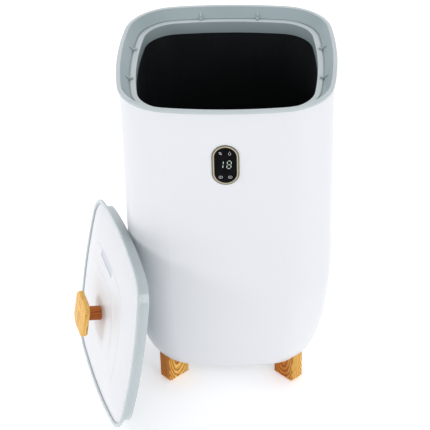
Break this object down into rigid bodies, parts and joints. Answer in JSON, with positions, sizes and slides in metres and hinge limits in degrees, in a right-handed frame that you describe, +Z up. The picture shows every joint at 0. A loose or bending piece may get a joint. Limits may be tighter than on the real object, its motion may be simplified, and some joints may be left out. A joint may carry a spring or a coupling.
{
  "type": "towel warmer bucket",
  "caption": "Heated towel bucket with a rounded square body, wooden legs, a push-key display and a lift-off lid with a wooden knob.",
  "frame": {"origin": "on the floor, on the vertical axis of the bucket", "axes": "+Z up, -Y towards the display, +X to the right seen from the front; the lid leans at -X"},
  "size_m": [0.3807, 0.3959, 0.4896],
  "materials": {
    "shell_white": "satin",
    "collar_grey": "satin",
    "pot_black": "dark coated",
    "aluminium_plate": "satin",
    "heater_foil": "matt",
    "insulation_wool": "matt",
    "foam": "matt",
    "steel_screws": "zinc plated",
    "oak_light": "oiled",
    "oak_dark": "oiled",
    "foot_rubber": "matt",
    "circuit_board": "satin",
    "component_black": "satin",
    "component_blue": "satin",
    "terminal_white": "satin",
    "gland_grey": "satin",
    "bezel_champagne": "metallised",
    "lens_black": "polished",
    "ribbon_grey": "satin"
  },
  "bodies": {
    "bucket": {"outer_shell": "shell_white", "rim_collar": "collar_grey", "inner_pot": "pot_black", "base_heater": "aluminium_plate", "heater_nuts": "steel_screws", "thermostat": "component_black", "thermal_fuse": "steel_screws", "wall_heater": "heater_foil", "pot_insulation": "insulation_wool", "pot_screws": "steel_screws", "leg_screws": "steel_screws", "base_plate": "collar_grey", "base_screws": "steel_screws", "power_board": "circuit_board", "power_board_screws": "steel_screws", "transformer": "component_black", "relay": "component_blue", "capacitor": "component_black", "terminal_block": "terminal_white", "cord_gland": "gland_grey", "gland_nut": "gland_grey", "panel_bezel": "bezel_champagne", "panel_lens": "lens_black", "display_module": "component_black", "control_board": "circuit_board", "control_board_screws": "steel_screws", "ribbon_lead": "ribbon_grey", "leg_front_left": "oak_light", "foot_pad_front_left": "foot_rubber", "leg_front_right": "oak_light", "foot_pad_front_right": "foot_rubber", "leg_rear_left": "oak_light", "foot_pad_rear_left": "foot_rubber", "leg_rear_right": "oak_light", "foot_pad_rear_right": "foot_rubber", "switch_left": "component_black", "switch_right": "component_black"},
    "lid": {"lid_ring": "collar_grey", "lid_cap": "shell_white", "lid_liner": "collar_grey", "lid_insulation": "foam", "lid_screws": "steel_screws", "knob_stem": "oak_dark", "knob_head": "oak_light", "knob_washer": "steel_screws", "knob_screw": "steel_screws"},
    "key_left": {"key_left": "lens_black", "switch_plunger_left": "component_black"},
    "key_right": {"key_right": "lens_black", "switch_plunger_right": "component_black"}
  },
  "joints": [
    {"name": "lid_lift", "type": "slide", "parent": "bucket", "child": "lid", "axis": [-0.4746, -0.1574, 0.866], "range_m": [0, 0.35]},
    {"name": "key_left_press", "type": "slide", "parent": "bucket", "child": "key_left", "axis": [0, 1, 0], "range_m": [0, 0.0005], "stiffness_N_per_m": 800},
    {"name": "key_right_press", "type": "slide", "parent": "bucket", "child": "key_right", "axis": [0, 1, 0], "range_m": [0, 0.0005], "stiffness_N_per_m": 800}
  ]
}
